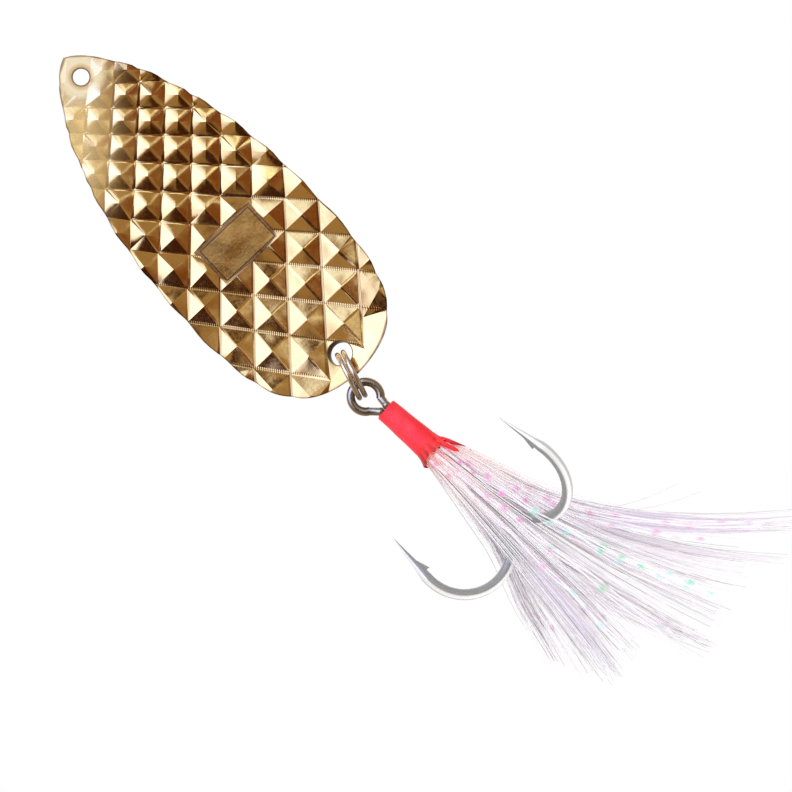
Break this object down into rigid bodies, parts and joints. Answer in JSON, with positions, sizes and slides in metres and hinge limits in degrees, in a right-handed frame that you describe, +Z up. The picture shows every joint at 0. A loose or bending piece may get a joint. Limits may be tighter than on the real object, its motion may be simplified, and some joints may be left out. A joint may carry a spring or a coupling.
{
  "type": "spoon lure",
  "caption": "Dished gold spoon lure blade stamped with pyramids, with a split ring in its tail carrying a treble hook dressed in white feathers, tinsel and red thread.",
  "frame": {"origin": "centre of the line hole in the blade's nose", "axes": "+Z up along the hanging lure, nose up; -Y out of the stamped face; +X to the right seen from the stamped face"},
  "size_m": [0.0348, 0.021, 0.0995],
  "materials": {
    "gold_plate": "bright gold plate",
    "ring_steel": "nickel plate",
    "hook_steel": "tinned steel",
    "braze": "tinned braze",
    "red_thread": "lacquered thread",
    "white_feather": "soft feather",
    "tinsel": "pearl film"
  },
  "bodies": {
    "blade": {"blade": "gold_plate"},
    "split_ring": {"split_ring": "ring_steel"},
    "dressed_hook": {"double_hook_wire": "hook_steel", "single_hook_wire": "hook_steel", "braze_joint": "braze", "thread_wrap": "red_thread", "wrap_collar": "red_thread", "long_thread_end": "red_thread", "short_thread_end": "red_thread", "feather_butts": "white_feather", "upper_feather_1": "white_feather", "upper_feather_2": "white_feather", "upper_feather_3": "white_feather", "upper_feather_4": "white_feather", "front_feather_1": "white_feather", "front_feather_2": "white_feather", "front_feather_3": "white_feather", "rear_feather_1": "white_feather", "rear_feather_2": "white_feather", "rear_feather_3": "white_feather", "upper_tinsel_1": "tinsel", "upper_tinsel_2": "tinsel", "upper_tinsel_3": "tinsel", "front_tinsel_1": "tinsel", "front_tinsel_2": "tinsel", "front_tinsel_3": "tinsel", "rear_tinsel_1": "tinsel", "rear_tinsel_2": "tinsel"}
  },
  "joints": [
    {"name": "ring_swing", "type": "hinge", "parent": "blade", "child": "split_ring", "pos_m": [-0.00077, -0.00081, -0.04569], "axis": [0.9613, 0, -0.2756], "range_deg": [-80, 80]},
    {"name": "hook_swing", "type": "hinge", "parent": "split_ring", "child": "dressed_hook", "pos_m": [-0.00127, -0.00081, -0.0486], "axis": [0, -1, 0], "range_deg": [-60, 60]}
  ]
}
